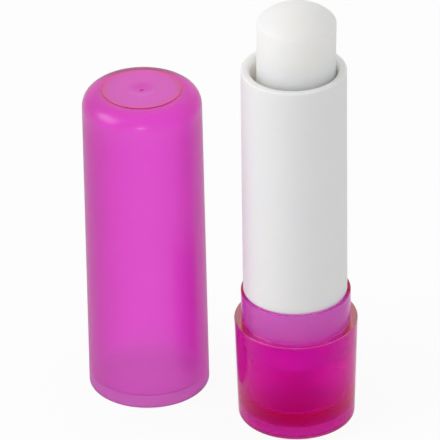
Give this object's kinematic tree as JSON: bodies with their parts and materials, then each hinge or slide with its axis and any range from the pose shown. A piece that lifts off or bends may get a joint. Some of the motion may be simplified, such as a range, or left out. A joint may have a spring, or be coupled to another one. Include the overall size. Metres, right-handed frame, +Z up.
{
  "type": "lip balm stick",
  "caption": "Twist-up lip balm stick: clear tinted base with a lead screw, white barrel, carrier and domed balm, its frosted cap standing beside it.",
  "frame": {"origin": "centre of the base's underside, on the surface that the stick stands on", "axes": "+Z up along the stick, the way the balm comes out; the cap stands towards -X and a little towards +Y"},
  "size_m": [0.0419, 0.0289, 0.0707],
  "materials": {
    "clear_tinted": "clear tinted moulding, polished",
    "frosted_tinted": "translucent tinted moulding, fine frosted",
    "white_barrel": "opaque white moulding, satin",
    "white_carrier": "opaque white moulding, as moulded",
    "balm_wax": "cast wax, soft sheen"
  },
  "bodies": {
    "base": {"base": "clear_tinted", "lead_screw": "clear_tinted"},
    "barrel": {"barrel": "white_barrel"},
    "carrier": {"carrier": "white_carrier", "balm": "balm_wax"},
    "cap": {"cap": "frosted_tinted"}
  },
  "joints": [
    {"name": "barrel_turn", "type": "hinge", "parent": "base", "child": "barrel", "pos_m": [0, 0, 0.0221], "axis": [0, 0, 1], "range_deg": [-810, 1980]},
    {"name": "carrier_slide", "type": "slide", "parent": "barrel", "child": "carrier", "axis": [0, 0, 1], "range_m": [-0.01125, 0.0275]},
    {"name": "cap_lift", "type": "slide", "parent": "base", "child": "cap", "axis": [0, 0, 1], "range_m": [0, 0.08]}
  ],
  "couplings": [
    {"joint": "carrier_slide", "follows": "barrel_turn", "m_per_rad": 0.00079577}
  ]
}
